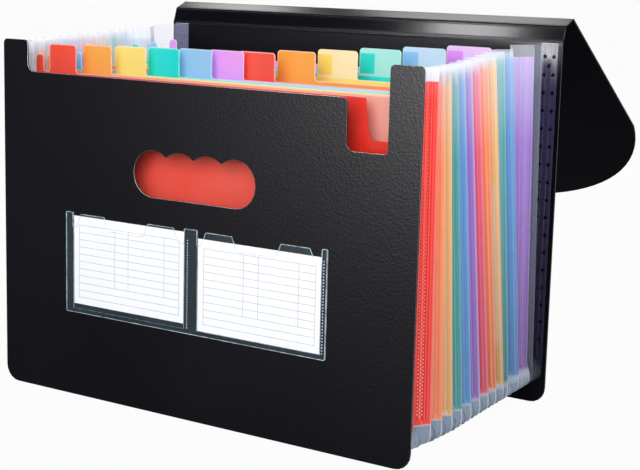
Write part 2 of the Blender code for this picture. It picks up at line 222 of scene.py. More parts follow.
class FileSizes(bpy.types.PropertyGroup):
    """Sizes of the fine work on the frame."""
    edge: length("Edge", "Rounding of the cut edges of the black sheets", 0.2)
    sheet_edge: length("Divider edge", "Rounding of the cut edges of the dividers", 0.1)
    # The pale rim of a divider is a painted highlight along its edges.
    rim: length("Divider rim", "Width of the pale pressed rim of a divider", 0.65)
    web_reach: length("Crease reach", "How far a crease web runs onto each panel", 1.9)
    web_round: length("Crease rounding", "Tangent length of the bend of a crease", 1.5)
    web_proud: length("Crease proud", "How much thicker a crease web is than the sheet", 0.05)
    pleat: length("Pleat depth", "Depth of the folds of the film", 12.5)
    fold_front: length("Front fold", "First outer fold of the film, behind the front cover", 5)
    fold_top: length("Upper fold", "Second outer fold at the film's top", 19.6)
    fold_top_step: length("Upper step", "Step from one outer fold to the next at the top", 6.4)
    fold_top_growth: length("Upper growth", "How the upper step widens, per fold", 0.3)
    fold_base: length("Lower fold", "Second outer fold under the dividers", 26.8)
    fold_base_step: length("Lower step", "Step from one outer fold to the next under the dividers", 14.0)
    fold_base_shrink: length("Lower shrink", "How the lower step narrows, per fold", 0.235)
    fold_rear_top: length("Rear fold", "Last outer fold at the film's top", 155)
    fold_rear_base: length("Rear lower fold", "Last outer fold under the dividers", 166)
    film: length("Film thickness", "Thickness of the pleated film", 0.3)
    film_lift: length("Film lift", "How much higher the film's top is at the rear", 9.5)
    film_corner: length("Film corner", "Radius of the film's lower corners", 16)
    # Painted highlight along the outer folds: width of the pale line, and how much paler than the panels it
    # is.
    fold_line: length("Fold line", "Width of the pale line along an outer fold", 0.8)
    fold_highlight: share("Fold glow", "How much paler an outer fold is than its panels", 0.12)
    last_fold_highlight: share("Last fold glow", "How much paler the last outer fold is than its panels", 0.75)
    veil: share("Film veil", "Opacity of the clear film at the front", 0.6)
    rear_veil: share("Rear veil", "Opacity of the clear film at the rear", 0.2)
    left_veil: share("Left veil", "Least opacity of the clear film on the left side", 0.45)
    inner_veil: share("Inner veil", "Opacity of the film's inner side", 0.75)
    low_veil: share("Lower veil", "Opacity of the film under the dividers", 0.8)
    flange_veil: share("Flange veil", "Opacity of the film where it is welded to a cover", 0.16)
    clear_veil: share("Clear veil", "Opacity of the clear pleat in front of the rear cover", 0.12)
    bar: share("Bar", "Share of a rear-facing panel that the tinted margin covers", 0.3)
    margin: share("Last margin", "Share of the last panel that the tinted margin covers", 0.75)
    clear_top: length("Clear top", "Depth of the clear film above the first and last margin", 7.5)
    fade: length("Fade", "Depth over which the other margins begin", 14)
    fade_drop: share("Fade drop", "How much shorter that fade is at the rear", 0.6)
    paling: length("Paling", "Depth over which the margins are paler near their top", 55)
    weld: length("Weld dot", "Radius of the small weld dots in the red margin", 0.5)
    weld_pitch: length("Weld pitch", "Step between the small weld dots", 2.3)
    spot: length("Weld spot", "Radius of the round welds on the rear cover", 1.3)
    spot_pitch: length("Spot pitch", "Step between the round welds", 12)
    seam_dot: length("Seam dot", "Radius of the dots in the pocket seams", 0.5)
    seam_pitch: length("Seam pitch", "Step between the dots in the pocket seams", 1.9)
    rule: length("Rule", "Width of the ruled lines on a card", 0.35)
    rule_count: IntProperty(name="Rules", description="Ruled rows on a card", default=10, min=1)


class FileColours(bpy.types.PropertyGroup):
    """Colours of the plastics and the paper."""
    cover: colour("Cover", "Black grained sheet", 9, 9, 15)
    cover_edge: colour("Cover edge", "Cut edge of the black sheet", 74, 74, 80)
    red: colour("Red", "First and seventh divider", 255, 78, 58)
    orange: colour("Orange", "Second and eighth divider", 255, 174, 64)
    yellow: colour("Yellow", "Third and ninth divider", 255, 236, 124)
    teal: colour("Teal", "Fourth and tenth divider", 10, 230, 228)
    blue: colour("Blue", "Fifth and eleventh divider", 160, 211, 255)
    purple: colour("Purple", "Sixth and twelfth divider", 246, 166, 255)
    # Painted light: the first two dividers where they show in the thumb notch.
    salmon: colour("Salmon", "Second divider where it shows in the thumb notch", 255, 180, 166)
    vermilion: colour("Vermilion", "First divider where it shows in the thumb notch", 255, 36, 8)
    # Margin colours: the dividers seen through the frosted film, duller for the film and painted darker for
    # the shade in the stack of pleats.
    margin_red: colour("Red margin", "First margin through the film", 226, 58, 44)
    margin_orange: colour("Orange margin", "Second and eighth margin through the film", 242, 145, 104)
    margin_yellow: colour("Yellow margin", "Third and ninth margin through the film", 230, 182, 126)
    margin_teal: colour("Teal margin", "Fourth and tenth margin through the film", 84, 164, 164)
    margin_blue: colour("Blue margin", "Fifth and eleventh margin through the film", 104, 154, 208)
    margin_purple: colour("Purple margin", "Sixth and twelfth margin through the film", 160, 126, 200)
    margin_pink: colour("Pink margin", "Seventh margin through the film", 226, 100, 126)
    film: colour("Film", "Clear frosted film", 238, 242, 250)
    film_inside: colour("Film inside", "Inner side of the film", 222, 233, 246)
    # Painted shade: the film under the dividers takes a darker slate colour for the shade it lies in.
    low_film_painted_shade: colour("Lower film", "Film under the dividers, in their shade", 128, 143, 162)
    flange: colour("Flange", "Film welded flat on a black cover", 105, 98, 145)
    clear: colour("Last pleat", "Clear pleat in front of the rear cover", 190, 196, 226)
    pocket: colour("Pocket", "Clear pocket sheet", 190, 226, 246)
    paper: colour("Paper", "Label cards", 243, 243, 247)
    ink: colour("Rule", "Ruled lines on the cards", 140, 142, 152)
    weld_dark: colour("Round weld", "Round welds on the rear cover", 12, 11, 20)
    weld_clear: colour("Seam weld", "Dots in the pocket seams", 226, 234, 242)
    floor: colour("Floor", "Plain studio floor", 160, 160, 160)


class FileStage(bpy.types.PropertyGroup):
    """Viewpoint and light."""
    azimuth: angle("Azimuth", "Viewpoint to the right of the front", 33.51)
    elevation: angle("Elevation", "Viewpoint above the horizon", 10.12)
    roll: angle("Roll", "Turn of the picture", 1.49)
    distance: length("Distance", "Camera to the point it looks at", 910.9)
    target: FloatVectorProperty(
        name="Target", description="Point that the camera looks at", default=(0.0969, -0.182, 0.1344), size=3,
        unit="LENGTH", subtype="XYZ")
    lens: FloatProperty(name="Lens", description="Focal length in millimetres", default=85.52, min=1.0)
    ambient: share("Ambient", "Level of the light from all round", 0.45)


def settings():
    return bpy.context.scene.expanding_file_sizes


def tone(name):
    """A colour of the property group as a tuple."""
    return tuple(getattr(bpy.context.scene.expanding_file_colours, name))


def joint(name):
    """A joint's entry in the frame."""
    return [entry for entry in frame["joints"] if entry["name"] == name][0]


def mixed(first, second, amount):
    return tuple(a + (b - a) * amount for a, b in zip(first, second))


def scaled(base, amount):
    return tuple(channel * amount for channel in base)


def every(scale):
    """The same scale along all three axes."""
    return (scale, scale, scale)


# Materials

class Look:
    """A material under construction: a Principled shader with a few helpers to feed it."""

    def __init__(self, name, base, roughness, **values):
        self.material = bpy.data.materials.new(name)
        self.material.use_nodes = True
        self.material.diffuse_color = (*base, 1.0)
        self.tree = self.material.node_tree
        self.shader = self.tree.nodes["Principled BSDF"]
        self.feed("Base Color", base)
        self.feed("Roughness", roughness)
        for socket, value in values.items():
            self.feed(socket.replace("_", " "), value)

    def give(self, socket, value):
        """Link an output to a socket, or set the socket to a number, vector or colour."""
        if isinstance(value, bpy.types.NodeSocket):
            self.tree.links.new(value, socket)
        else:
            socket.default_value = (*value, 1.0) if socket.type == "RGBA" else value

    def feed(self, name, value):
        """Give a value to a socket of the shader."""
        self.give(self.shader.inputs[name], value)

    def node(self, kind, values=None, **fields):
        """New node with its fields set and its sockets given values."""
        made = self.tree.nodes.new(kind)
        for field, value in fields.items():
            setattr(made, field, value)
        for name, value in (values or {}).items():
            self.give(made.inputs[name], value)
        return made

    def mark(self, name):
        """Outputs of a mesh attribute."""
        return self.node("ShaderNodeAttribute", attribute_name=name).outputs

    def place(self, scale):
        """Object coordinates in metres, scaled along each axis."""
        source = self.node("ShaderNodeTexCoord").outputs["Object"]
        return self.node("ShaderNodeMapping", {"Vector": source, "Scale": scale}).outputs["Vector"]

    def noise(self, scale, detail, rough=0.55):
        values = {"Vector": self.place(scale), "Scale": 1.0, "Detail": detail, "Roughness": rough}
        return self.node("ShaderNodeTexNoise", values).outputs["Fac"]

    def stripes(self, value, scale, detail=2.0):
        """Noise along one value, such as the way across the pleats."""
        values = {"W": value, "Scale": scale, "Detail": detail}
        return self.node("ShaderNodeTexNoise", values, noise_dimensions="1D").outputs["Fac"]

    def cells(self, scale, smooth=0.6):
        values = {"Vector": self.place(scale), "Scale": 1.0, "Smoothness": smooth}
        return self.node("ShaderNodeTexVoronoi", values, feature="SMOOTH_F1").outputs["Distance"]

    def spread(self, value, low, high, start=0.3, end=0.7):
        """Map a value from one span to another; the usual span is that of noise."""
        values = {"Value": value, "From Min": start, "From Max": end, "To Min": low, "To Max": high}
        return self.node("ShaderNodeMapRange", values).outputs["Result"]

    def limit(self, value):
        """Keep a value between 0 and 1."""
        return self.spread(value, 0.0, 1.0, 0.0, 1.0)

    def maths(self, operation, *values):
        made = self.node("ShaderNodeMath", operation=operation)
        for socket, value in zip(made.inputs, values):
            self.give(socket, value)
        return made.outputs["Value"]

    def blend(self, factor, first, second):
        """Mix two colours, each a tuple or an output."""
        made = self.node("ShaderNodeMix", {"Factor": factor}, data_type="RGBA")
        for socket, value in zip([s for s in made.inputs if s.type == "RGBA"], (first, second)):
            self.give(socket, value)
        return [s for s in made.outputs if s.type == "RGBA"][0]

    def mottle(self, value, first, second):
        """Let the base colour wander between two shades."""
        self.feed("Base Color", self.blend(self.spread(value, 0.0, 1.0), first, second))

    def vary(self, name, value, low, high):
        """Let a socket of the shader wander between two levels."""
        self.feed(name, self.spread(value, low, high))

    def bump(self, height, strength, depth):
        made = self.node("ShaderNodeBump", {"Height": height, "Strength": strength, "Distance": depth})
        self.feed("Normal", made.outputs["Normal"])


def grained_black(name, shine, rough, relief):
    """Black sheet with a fine pressed grain, faint cloudy wear and a soft sheen."""
    base = tone("cover")
    look = Look(name, base, rough, Specular_IOR_Level=shine)
    look.mottle(look.noise(every(9), 4.0), base, scaled(base, 1.5))
    grain = look.cells(every(700))
    fine = look.noise(every(5200), 2.0)
    look.vary("Roughness", fine, rough - 0.05, rough + 0.05)
    look.bump(look.maths("ADD", grain, look.maths("MULTIPLY", fine, 0.35)), relief, 0.12 * MM)
    return look.material


def speckled(name, base, rough, shine, scale, detail, shades=None, relief=None, **spans):
    """Plain material in which one noise moves the colour, the relief and the spans of other sockets."""
    look = Look(name, base, rough, Specular_IOR_Level=shine)
    noise = look.noise(scale, detail)
    if shades:
        look.mottle(noise, *shades)
    for socket, span in spans.items():
        look.vary(socket, noise, *span)
    if relief:
        look.bump(noise, *relief)
    return look.material


def cut_black():
    """Cut edge of the black sheet, smoother and greyer than its face."""
    base = tone("cover_edge")
    shades = (scaled(base, 0.55), base)
    return speckled("black_cut", base, 0.38, 0.3, every(700), 2.0, shades, (0.2, 0.02 * MM))


def tinted_sheet(name, base):
    """Tinted translucent sheet with a faint satin grain."""
    look = Look("tinted_" + name, base, 0.42, Specular_IOR_Level=0.01, Alpha=SHEET_OPACITY)
    look.mottle(look.noise((14, 14, 9), 3.0), scaled(base, 0.93), mixed(base, WHITE, 0.05))
    grain = look.noise(every(2600), 2.0)
    look.vary("Roughness", grain, 0.36, 0.5)
    look.bump(grain, 0.12, 0.02 * MM)
    return look.material


def frosted_film():
    """Frosted film: tinted margins show through it, paler at their top; its foot is painted darker as shade,
    and its outer folds take a painted highlight.
    """
    film = tone("film")
    look = Look("film_frosted", film, 0.3, Specular_IOR_Level=0.2)
    tint = look.mark("tint")
    veil, lower, upper, deep, ridge, across = (
        look.mark(name)["Fac"] for name in ("veil", "lower", "upper", "deep", "ridge", "across"))
    above = look.limit(lower)
    inside = look.maths("MULTIPLY", above, look.limit(upper))
    streak = look.stripes(across, 700)
    layer = look.stripes(across, 260)
    rich = look.node("ShaderNodeGamma", {"Color": tint["Color"], "Gamma": 1.3}).outputs["Color"]
    shade = look.blend(look.spread(layer, 0.0, 0.7), tint["Color"], rich)
    shade = look.blend(look.spread(streak, 0.0, 0.14, 0.45, 0.75), shade, film)
    shade = look.blend(look.spread(deep, 0.35, 0.0, 0.0, 1.0), shade, film)
    body = look.blend(inside, film, shade)
    # Painted shade: below the dividers' margins the film takes the darker lower colour.
    body = look.blend(above, tone("low_film_painted_shade"), body)
    # Painted highlight: the outer folds are mixed towards white, more so under the dividers.
    glow = look.maths("MULTIPLY", ridge, look.spread(above, LOW_FOLD_HIGHLIGHT, 1.0, 0.0, 1.0))
    look.feed("Base Color", look.blend(glow, body, WHITE))
    wave = look.spread(streak, 0.92, 1.08)
    gain = look.maths("MULTIPLY", inside, look.maths("SUBTRACT", tint["Alpha"], veil))
    cover = look.maths("MULTIPLY", wave, look.maths("ADD", veil, gain))
    low = look.maths("MULTIPLY", look.maths("SUBTRACT", 1.0, above), settings().low_veil)
    look.feed("Alpha", look.maths("ADD", low, look.maths("MULTIPLY", above, cover)))
    haze = look.noise((260, 260, 60), 3.0)
    look.vary("Roughness", haze, 0.22, 0.42)
    look.bump(haze, 0.25, 0.12 * MM)
    return look.material


def clear_pocket():
    """Clear film of the card pocket, slightly smoky against the black."""
    return speckled(
        "sleeve_clear", tone("pocket"), 0.16, 0.13, (40, 40, 15), 1.0, relief=(0.2, 0.1 * MM),
        Alpha=(0.018, 0.028), Roughness=(0.12, 0.24))


def pocket_edge():
    """Cut edge of the pocket film, which gathers light."""
    base = mixed(tone("pocket"), WHITE, 0.3)
    return speckled(
        "sleeve_edge", base, 0.25, 0.5, every(180), 2.0, Alpha=(0.25, 0.7), Roughness=(0.2, 0.35))


def card_paper():
    """Matt white paper with faint fibres."""
    base = tone("paper")
    return speckled(
        "paper_white", base, 0.75, 0.2, (900, 900, 1600), 4.0, (scaled(base, 0.965), base), (0.1, 0.02 * MM),
        Roughness=(0.7, 0.82))


def rule_ink():
    """Grey print of the ruled lines, slightly broken."""
    base = tone("ink")
    return speckled("rule_ink", base, 0.7, 0.2, every(1500), 3.0, (base, mixed(base, tone("paper"), 0.45)))


def weld_look(name, shine):
    """Melted plastic of a weld, in the colour of that name."""
    base = tone(name)
    shades = (scaled(base, 0.7), base)
    return speckled(name, base, 0.2, shine, every(900), 2.0, shades, Roughness=(0.14, 0.3))


def red_weld(low, high):
    """Weld dots in the red margin: a shade paler than it at the top, and pale pink towards the foot."""
    base = tone("margin_red")
    look = Look("weld_red", base, 0.35, Specular_IOR_Level=0.05)
    place = look.node("ShaderNodeSeparateXYZ", {"Vector": look.place(every(1.0))})
    foot = look.spread(place.outputs["Z"], 1.0, 0.0, low, low + 0.6 * (high - low))
    look.feed("Base Color", look.blend(foot, mixed(base, WHITE, 0.12), mixed(base, WHITE, 0.5)))
    return look.material


def seen_rays(tree):
    """Output that is 1 for what is seen, mirrored or looked through, and 0 for what only gives light."""
    rays = tree.nodes.new("ShaderNodeLightPath")
    seen = rays.outputs["Is Camera Ray"]
    for name in ("Is Glossy Ray", "Is Transmission Ray"):
        either = tree.nodes.new("ShaderNodeMath")
        either.operation = "MAXIMUM"
        tree.links.new(seen, either.inputs[0])
        tree.links.new(rays.outputs[name], either.inputs[1])
        seen = either.outputs["Value"]
    return seen


def floor_look():
    """Plain floor that reads as white paper and still takes the object's shadow."""
    base = tone("floor")
    look = Look("floor_white", base, 0.9, Specular_IOR_Level=0.0)
    look.mottle(look.noise(every(3), 2.0), base, mixed(base, WHITE, 0.1))
    mix = look.node("ShaderNodeMixShader", {"Fac": look.maths("MULTIPLY", seen_rays(look.tree), FLOOR_GLOW)})
    look.give(mix.inputs[1], look.shader.outputs["BSDF"])
    look.give(mix.inputs[2], look.node("ShaderNodeEmission").outputs["Emission"])
    output = [n for n in look.tree.nodes if n.type == "OUTPUT_MATERIAL"][0]
    look.give(output.inputs["Surface"], mix.outputs["Shader"])
    return look.material


# Modelling helpers

def copy_of(node):
    """Copy of a frame node with its triangles rejoined into flat faces."""
    bm = bmesh.new()
    bm.from_mesh(frame["nodes"][node].data)
    bmesh.ops.remove_doubles(bm, verts=bm.verts, dist=MERGE)
    bmesh.ops.dissolve_limit(
        bm, angle_limit=FLAT_ANGLE, use_dissolve_boundaries=False, verts=bm.verts, edges=bm.edges)
    return bm


def round_edges(bm, width, segments=2):
    """Round the sharp edges and give the new faces the look of the rim."""
    sharp = [edge for edge in bm.edges if edge.calc_face_angle(0.0) > SHARP_ANGLE]
    made = bmesh.ops.bevel(
        bm, geom=sharp, offset=width, affect="EDGES", segments=segments, profile=0.5, material=-1,
        clamp_overlap=True)
    for face in made["faces"]:
        face.material_index = RIM_LOOK


def rim_faces(bm, faces, width):
    """Faces of a rim that is marked off inside the outline of flat faces."""
    return bmesh.ops.inset_region(
        bm, faces=faces, thickness=width, use_boundary=True, use_even_offset=True)["faces"]


def stud(bm, place, outward, segments, radius, top, depth):
    """Blunt cone on a surface; its top keeps a share of the radius."""
    turn = UP.rotation_difference(outward).to_matrix().to_4x4()
    bmesh.ops.create_cone(
        bm, cap_ends=True, segments=segments, radius1=radius, radius2=radius * top, depth=depth,
        matrix=Matrix.Translation(place) @ turn)


def put(bm, name, looks, smooth=False):
    """Turn a mesh under construction into a named object with these materials, smooth-shaded if asked."""
    mesh = bpy.data.meshes.new(name)
    bm.to_mesh(mesh)
    bm.free()
    for look in looks:
        mesh.materials.append(look)
    if smooth:
        mesh.shade_smooth()
        mesh.set_sharp_from_angle(angle=SHARP_ANGLE)
    made = bpy.data.objects.new(name, mesh)
    bpy.context.scene.collection.objects.link(made)
    return made


def look_named(name, make, *values):
    """The material of that name, made on first use."""
    return bpy.data.materials.get(name) or make(*values)


def black_looks(finish):
    """Face and cut edge of a black sheet, in one of its finishes."""
    face = look_named("black_" + finish, grained_black, "black_" + finish, *BLACK_FINISHES[finish])
    return [face, look_named("black_cut", cut_black)]


def black_sheet(node, name, body, finish="grain"):
    """Black sheet that takes the place of a frame node."""
    bm = copy_of(node)
    round_edges(bm, settings().edge)
    made = put(bm, name, black_looks(finish))
    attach(made, body)
    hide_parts(node)


def tip_of(node, root):
    """Middle of the points of a node that lie farthest from a point on the middle plane."""
    points = [Vector((0, v.co.y, v.co.z)) for v in frame["nodes"][node].data.vertices]
    reach = max((point - root).length for point in points)
    far = [point for point in points if (point - root).length > reach - TIP_DEPTH]
    return sum(far, Vector()) / len(far)


def crease_web(name, crease, before, after):
    """Thin bent web of the same sheet across a crease, between the panel directions before and after it."""
    sizes = settings()
    low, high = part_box("rear_cover")
    thick = high.y - low.y + sizes.web_proud
    faces = [Vector((0, -d.z, d.y)) for d in (before, after)]
    bend = before.angle(after) / 2
    corner = crease + (faces[0] + faces[1]).normalized() * (thick / 2 / math.cos(bend))
    first = crease - before * sizes.web_reach + faces[0] * (thick / 2)
    last = crease + after * sizes.web_reach + faces[1] * (thick / 2)
    bm = bmesh.new()
    line = [bm.verts.new(point - Vector((high.x, 0, 0))) for point in (first, corner, last)]
    edges = [bm.edges.new(pair) for pair in zip(line, line[1:])]
    swept = bmesh.ops.extrude_edge_only(bm, edges=edges)
    moved = [item for item in swept["geom"] if isinstance(item, bmesh.types.BMVert)]
    bmesh.ops.translate(bm, verts=moved, vec=(2 * high.x, 0, 0))
    fold = [edge for edge in bm.edges if len(edge.link_faces) == 2]
    bmesh.ops.bevel(
        bm, geom=fold, offset=sizes.web_round, affect="EDGES", segments=WEB_SEGMENTS, profile=0.5,
        material=-1)
    bmesh.ops.recalc_face_normals(bm, faces=bm.faces)
    if bm.faces[:][0].normal.dot(faces[0]) < 0:
        bmesh.ops.reverse_faces(bm, faces=bm.faces)
    bmesh.ops.solidify(bm, geom=bm.faces[:], thickness=thick)
    bmesh.ops.recalc_face_normals(bm, faces=bm.faces)
    made = put(bm, name, black_looks("gloss"), smooth=True)
    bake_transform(made)


class FILE_OT_covers(bpy.types.Operator):
    """Front and rear cover with rounded cut edges"""
    bl_idname = "expanding_file.covers"
    bl_label = "Covers"

    def execute(self, context):
        black_sheet("front_cover", "front_sheet", "front")
        black_sheet("rear_cover", "rear_sheet", "rear")
        return {"FINISHED"}


class FILE_OT_lid(bpy.types.Operator):
    """Two spine bands and the round flap, with a bent web across each crease"""
    bl_idname = "expanding_file.lid"
    bl_label = "Lid"

    def execute(self, context):
        black_sheet("spine_band_lower", "spine_sheet_lower", "band_lower", "shine")
        black_sheet("spine_band_upper", "spine_sheet_upper", "band_upper", "gloss")
        black_sheet("flap", "flap_sheet", "flap", "dull")
        creases = [Vector(joint(name)["pos_m"]) for name in ("spine_lower", "spine_upper", "lid")]
        stops = creases[1:] + [tip_of("flap", creases[-1])]
        leans = [UP] + [(stop - start).normalized() for start, stop in zip(creases, stops)]
        names = ("crease_lower", "crease_middle", "crease_upper")
        for i, name in enumerate(names):
            crease_web(name, creases[i], leans[i], leans[i + 1])
        return {"FINISHED"}


def tab_span(node):
    """Left and right end of a divider's tab."""
    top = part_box(node)[1].z
    across = [v.co.x for v in frame["nodes"][node].data.vertices if v.co.z > top - TAB_STRAIGHT]
    return min(across), max(across)


def cut_across(bm, point, normal):
    """Score all faces along a plane."""
    bmesh.ops.bisect_plane(
        bm, geom=bm.verts[:] + bm.edges[:] + bm.faces[:], dist=MERGE, plane_co=point, plane_no=normal)


def mark_tab(bm, node, recess):
    """Make a tab's face pale, with a deeper patch at its left."""
    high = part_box(node)[1].z
    left, right = tab_span(node)
    edge = left + (right - left) * PATCH_WIDTH
    top, base = (recess + (high - recess) * part for part in (PATCH_TOP, PATCH_BASE))
    cut_across(bm, (edge, 0, 0), (1, 0, 0))
    for level in (top, base, recess):
        cut_across(bm, (0, 0, level), UP)
    for face in bm.faces:
        middle = face.calc_center_median()
        if face.material_index or middle.z < recess or not left < middle.x < right:
            continue
        patch = middle.x < edge and base < middle.z < top
        face.material_index = PATCH_LOOK if patch else SHADE_LOOK


def make_divider(index):
    """One sheet: pale rims round its top, painted as a highlight along its edges, and its tab shades or the
    painted light of its notch where it has them.
    """
    node = f"divider_{index:02d}"
    tint = TINT_NAMES[(index - 1) % len(TINT_NAMES)]
    base = tone(tint)
    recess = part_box("divider_01")[1].z - TAB_RISE + SHEET_TOPS[index - 1] - SHEET_TOPS[0]
    bm = copy_of(node)
    flat = [face for face in bm.faces if abs(face.normal.y) > FACING]
    for face in rim_faces(bm, flat, settings().rim):
        if face.calc_center_median().z > recess - settings().rim:
            face.material_index = RIM_LOOK
    round_edges(bm, settings().sheet_edge, 1)
    # The rim look is the tint painted paler, as a highlight along the sheet's edges.
    shades = {tint: base, "rim_" + tint: mixed(base, WHITE, RIM_HIGHLIGHT_WHITE)}
    if index > PALE_AFTER:
        mark_tab(bm, node, recess)
        shades["pale_" + tint] = mixed(base, WHITE, TAB_WHITE)
        shades["deep_" + tint] = tuple(channel ** PATCH_POWER for channel in base)
    # Painted light: the part of the sheet seen in the thumb notch takes its own colour.
    if index in NOTCH_PAINTED_LIGHT:
        name, side = NOTCH_PAINTED_LIGHT[index]
        cut_across(bm, (0, 0, recess - settings().rim), UP)
        cut_across(bm, (side, 0, 0), (1, 0, 0))
        for face in bm.faces:
            middle = face.calc_center_median()
            if middle.z < recess - settings().rim and middle.x > side:
                face.material_index = SHADE_LOOK
        shades[name] = tone(name)
    looks = [look_named("tinted_" + name, tinted_sheet, name, shade) for name, shade in shades.items()]
    made = put(bm, f"divider_sheet_{index:02d}", looks)
    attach(made, f"sheet_{index:02d}")
    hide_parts(node)


class FILE_OT_dividers(bpy.types.Operator):
    """Twelve tinted divider sheets with pale rims painted as highlights, the rear tabs with a darker patch"""
    bl_idname = "expanding_file.dividers"
    bl_label = "Dividers"

    def execute(self, context):
        for index in range(1, DIVIDER_COUNT + 1):
            make_divider(index)
        return {"FINISHED"}


def film_rise(y):
    """How much higher the film hangs at a place towards the rear, where the dividers hang higher."""
    level = [top - SHEET_TOPS[0] < SAME_HEIGHT for top in SHEET_TOPS].count(True) - 1
    step = (SHEET_TOPS[-1] - SHEET_TOPS[level]) / (DIVIDER_COUNT - 1 - level)
    stops = SHEET_PLACES[level:] + [0.0]
    for i, (near, far) in enumerate(zip(stops, stops[1:])):
        if y < far:
            return max(0.0, step * (i + (y - near) / (far - near)))
    return step * (len(stops) - 1)


def film_part(y):
    """Share of the way from the film's front weld to its rear weld."""
    return (y - FILM_LOW.y) / (FILM_HIGH.y - FILM_LOW.y)


def film_lift(x, y, level):
    """Extra height of the film towards its top: it climbs evenly at the left and sooner at the right."""
    part = min(1.0, max(0.0, film_part(y)))
    if x > 0:
        part = min(1.0, max(0.0, (part - CLIMB[0]) / (CLIMB[1] - CLIMB[0])))
        part = part * part * (3 - 2 * part)
    return level * max(0.0, settings().film_lift * part - film_rise(y))


def painted_light_and_shade(y, level):
    """Painted light and shade on a tint: lighter near the film's top, darker towards its foot and darkest at
    the rear.
    """
    return TOP_PAINTED_LIGHT - (1.0 - level) * (FOOT_PAINTED_SHADE + REAR_PAINTED_SHADE * film_part(y) ** 2)


def fold_place(index, level):
    """Y of an outer fold of the film; level runs from 0 under the dividers to 1 at the film's top."""
    sizes = settings()
    step = index - 1
    high = sizes.fold_top + step * (sizes.fold_top_step + step * sizes.fold_top_growth)
    low = sizes.fold_base + step * (sizes.fold_base_step - step * sizes.fold_base_shrink)
    low += LOW_SHIFTS.get(index, 0.0)
    if index == 0:
        low = high = sizes.fold_front
    if index == DIVIDER_COUNT:
        low, high = sizes.fold_rear_base, sizes.fold_rear_top
    return FILM_LOW.y + low + (high - low) * level


def finish_of(tint, opacity, veil, begin=0.0, full=MARGIN_EDGE, base=0.0, rich=1.0):
    """Finish of a film panel: tint, veil above it, where it begins and is full, foot, richness at the top."""
    return {
        "tint": (*tint, opacity), "veil": veil, "begin": begin, "full": full, "base": base, "rich": rich}


def margin_finish(index):
    """A divider's tinted margin seen through the film."""
    sizes = settings()
    tint = "pink" if index == PINK_MARGIN else TINT_NAMES[index % len(TINT_NAMES)]
    part = index / (DIVIDER_COUNT - 1)
    veil = sizes.veil + (sizes.rear_veil - sizes.veil) * part
    fade = sizes.fade * (1.0 - sizes.fade_drop * part)
    begin, full = FADE_START * fade, fade
    if part in (0, 1):
        begin, full = sizes.clear_top, sizes.clear_top + MARGIN_EDGE
    rich = 0.0 if index else FIRST_RICH
    return finish_of(tone("margin_" + tint), MARGIN_OPACITY, veil, begin, full, SHEET_BOXES[0][0].z, rich)


def back_finish(finish):
    """Rear-facing panel of a margin's pleat: pale film that only hints at the tint."""
    pale = mixed(tone("film"), finish["tint"][:3], BACK_TINT)
    return {**finish, "tint": (*pale, BACK_OPACITY)}


def film_folds(level):
    """Folds of the film from weld to weld: inset, Y, and the next panel as stretches, each with its end."""
    sizes = settings()
    flange = [(1.0, finish_of(tone("flange"), sizes.flange_veil, sizes.flange_veil))]
    clear = finish_of(tone("clear"), sizes.clear_veil, sizes.clear_veil)
    ridges = [fold_place(index, level) for index in range(DIVIDER_COUNT + 1)]
    folds = [(0, FILM_LOW.y, flange), (1, FILM_LOW.y, [(1.0, margin_finish(0))])]
    for index, (near, far) in enumerate(zip(ridges, ridges[1:])):
        finish = margin_finish(index)
        folds.append((0, near, [(1.0 - sizes.bar, back_finish(finish)), (1.0, finish)]))
        stretches = [(1.0, finish)]
        if index == DIVIDER_COUNT - 1:
            stretches = [(sizes.margin, finish), (1.0, clear)]
        folds.append((1, (near + far) / 2, stretches))
    folds.append((0, ridges[-1], [(1.0, clear)]))
    return folds + [(1, FILM_HIGH.y, flange), (0, FILM_HIGH.y, flange)]


def close_up(made):
    """Attach a piece to the rear cover's body and give it a mesh of its own."""
    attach(made, "rear")
    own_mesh(made)


